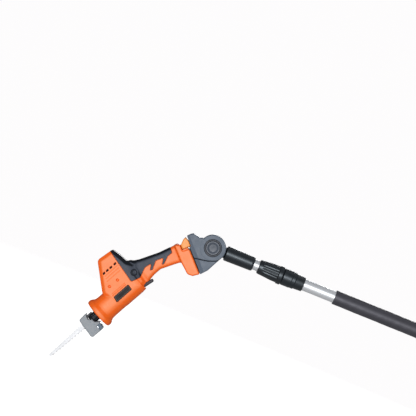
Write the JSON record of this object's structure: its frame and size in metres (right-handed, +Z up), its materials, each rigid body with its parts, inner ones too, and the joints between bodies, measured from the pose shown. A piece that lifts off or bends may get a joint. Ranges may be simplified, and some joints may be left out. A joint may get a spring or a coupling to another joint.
{
  "type": "telescoping pole saw",
  "caption": "Battery pruning saw on a tilting adapter at the end of a two-stage twist-lock pole with a powered rear handle.",
  "frame": {"origin": "on the pole's axis at the middle of the foam hand grip", "axes": "+X along the pole towards the user, +Z up, +Y square to the plane the head tilts in; the saw's visible side faces -Y"},
  "size_m": [1.3308, 0.066, 0.3825],
  "materials": {
    "bright_tube": "satin anodised",
    "black_gloss": "gloss",
    "black_plastic": "fine texture",
    "foam": "closed-cell foam, matte",
    "orange_shell": "satin gloss",
    "soft_grip": "moulded rubber, satin",
    "slate_plastic": "satin",
    "button_slate": "satin",
    "ring_navy": "satin",
    "amber_plastic": "satin",
    "shoe_grey": "satin paint",
    "steel": "ground",
    "blade_steel": "polished",
    "cast_alloy": "as cast",
    "bronze": "sintered",
    "contact": "plated",
    "copper_wound": "varnished",
    "dark_metal": "blackened",
    "cell_wrap": "shrink wrap"
  },
  "bodies": {
    "rear_pole": {"outer_tube": "bright_tube", "collar_body": "black_gloss", "collet": "black_plastic", "foam_grip": "foam", "coiled_lead": "black_plastic", "rear_housing_left": "orange_shell", "rear_housing_right": "orange_shell", "rear_grip_cover": "soft_grip", "rear_trigger_pin": "steel", "rear_switch": "black_plastic", "rear_terminals": "contact", "rear_screws": "dark_metal"},
    "lock_ring": {"lock_nut": "black_gloss"},
    "front_pole": {"inner_tube": "bright_tube", "inner_bush": "black_plastic", "pole_knuckle": "black_gloss"},
    "rear_trigger": {"rear_trigger": "black_plastic", "rear_trigger_spring": "steel"},
    "lock_off": {"lock_off_button": "amber_plastic"},
    "battery": {"battery_case": "black_plastic", "battery_cells": "cell_wrap"},
    "battery_release": {"battery_latch": "amber_plastic"},
    "adapter": {"adapter_left": "slate_plastic", "adapter_right": "slate_plastic", "adapter_contacts": "contact", "adapter_screws": "dark_metal", "pivot_sleeve": "steel", "pivot_ring": "ring_navy", "pivot_spring": "steel", "pivot_cap": "ring_navy"},
    "tilt_button": {"pivot_button": "button_slate"},
    "saw_release": {"adapter_latch": "amber_plastic"},
    "saw": {"saw_housing_left": "orange_shell", "saw_housing_right": "orange_shell", "grip_cover_left": "soft_grip", "grip_cover_right": "soft_grip", "name_plates": "black_plastic", "housing_screws": "dark_metal", "frame_screws": "orange_shell", "trigger_axle": "steel", "saw_switch": "black_plastic", "saw_terminals": "contact", "motor_can": "steel", "gear_axle": "steel", "gear_frame": "cast_alloy", "plunger_bushes": "bronze", "rod_seal": "black_plastic", "shoe_bracket": "steel", "shoe_pin": "steel"},
    "saw_trigger": {"saw_trigger": "black_plastic"},
    "motor": {"motor_rotor": "copper_wound"},
    "gear": {"drive_gear": "steel"},
    "plunger": {"plunger": "steel", "saw_blade": "blade_steel"},
    "clamp_collar": {"blade_clamp": "dark_metal"},
    "shoe": {"shoe": "shoe_grey"}
  },
  "joints": [
    {"name": "telescope", "type": "slide", "parent": "rear_pole", "child": "front_pole", "axis": [-1, 0, 0], "range_m": [0, 0.45]},
    {"name": "lock_twist", "type": "hinge", "parent": "rear_pole", "child": "lock_ring", "pos_m": [-0.315, 0, 0], "axis": [1, 0, 0], "range_deg": [0, 90]},
    {"name": "head_tilt", "type": "hinge", "parent": "front_pole", "child": "adapter", "pos_m": [-0.445, 0, 0], "axis": [0, 1, 0], "range_deg": [0, 120]},
    {"name": "tilt_button_push", "type": "slide", "parent": "adapter", "child": "tilt_button", "axis": [0, 1, 0], "range_m": [0, 0.004], "stiffness_N_per_m": 600, "springref_m": -0.002},
    {"name": "saw_release_push", "type": "slide", "parent": "adapter", "child": "saw_release", "axis": [0.6909, 0, -0.723], "range_m": [0, 0.0014], "stiffness_N_per_m": 600, "springref_m": -0.002},
    {"name": "saw_slide_off", "type": "slide", "parent": "adapter", "child": "saw", "axis": [0.6909, 0, -0.723], "range_m": [0, 0.07]},
    {"name": "saw_trigger_pull", "type": "hinge", "parent": "saw", "child": "saw_trigger", "pos_m": [-0.55398, 0, -0.12988], "axis": [0, 1, 0], "range_deg": [-11, 0], "stiffness_Nm_per_rad": 0.3, "springref_deg": 5.73},
    {"name": "motor_spin", "type": "hinge", "parent": "saw", "child": "motor", "pos_m": [-0.59825, 0, -0.12665], "axis": [-0.8934, 0, 0.4493], "continuous": true},
    {"name": "gear_spin", "type": "hinge", "parent": "saw", "child": "gear", "pos_m": [-0.59872, 0, -0.14986], "axis": [-0.8934, 0, 0.4493], "continuous": true},
    {"name": "plunger_stroke", "type": "slide", "parent": "saw", "child": "plunger", "axis": [-0.4493, 0, -0.8934], "range_m": [-0.007, 0.007]},
    {"name": "blade_clamp_twist", "type": "hinge", "parent": "plunger", "child": "clamp_collar", "pos_m": [-0.62174, 0, -0.23012], "axis": [-0.4493, 0, -0.8934], "range_deg": [0, 45], "stiffness_Nm_per_rad": 0.05, "springref_deg": -5.73},
    {"name": "shoe_pivot", "type": "hinge", "parent": "saw", "child": "shoe", "pos_m": [-0.60613, 0, -0.24469], "axis": [0, 1, 0], "range_deg": [-8, 8]},
    {"name": "rear_trigger_pull", "type": "hinge", "parent": "rear_pole", "child": "rear_trigger", "pos_m": [0.429, 0, -0.008], "axis": [0, 1, 0], "range_deg": [-9, 0], "stiffness_Nm_per_rad": 0.5, "springref_deg": 5.73, "deforming": ["rear_trigger_spring"]},
    {"name": "lock_off_push", "type": "slide", "parent": "rear_pole", "child": "lock_off", "axis": [0, 0, -1], "range_m": [0, 0.003], "stiffness_N_per_m": 400, "springref_m": -0.002},
    {"name": "battery_slide", "type": "slide", "parent": "rear_pole", "child": "battery", "axis": [0, 0, -1], "range_m": [0, 0.07]},
    {"name": "battery_latch_push", "type": "slide", "parent": "battery", "child": "battery_release", "axis": [-1, 0, 0], "range_m": [0, 0.003], "stiffness_N_per_m": 400, "springref_m": -0.002}
  ],
  "couplings": [
    {"joint": "gear_spin", "follows": "motor_spin", "ratio": -0.2381}
  ]
}
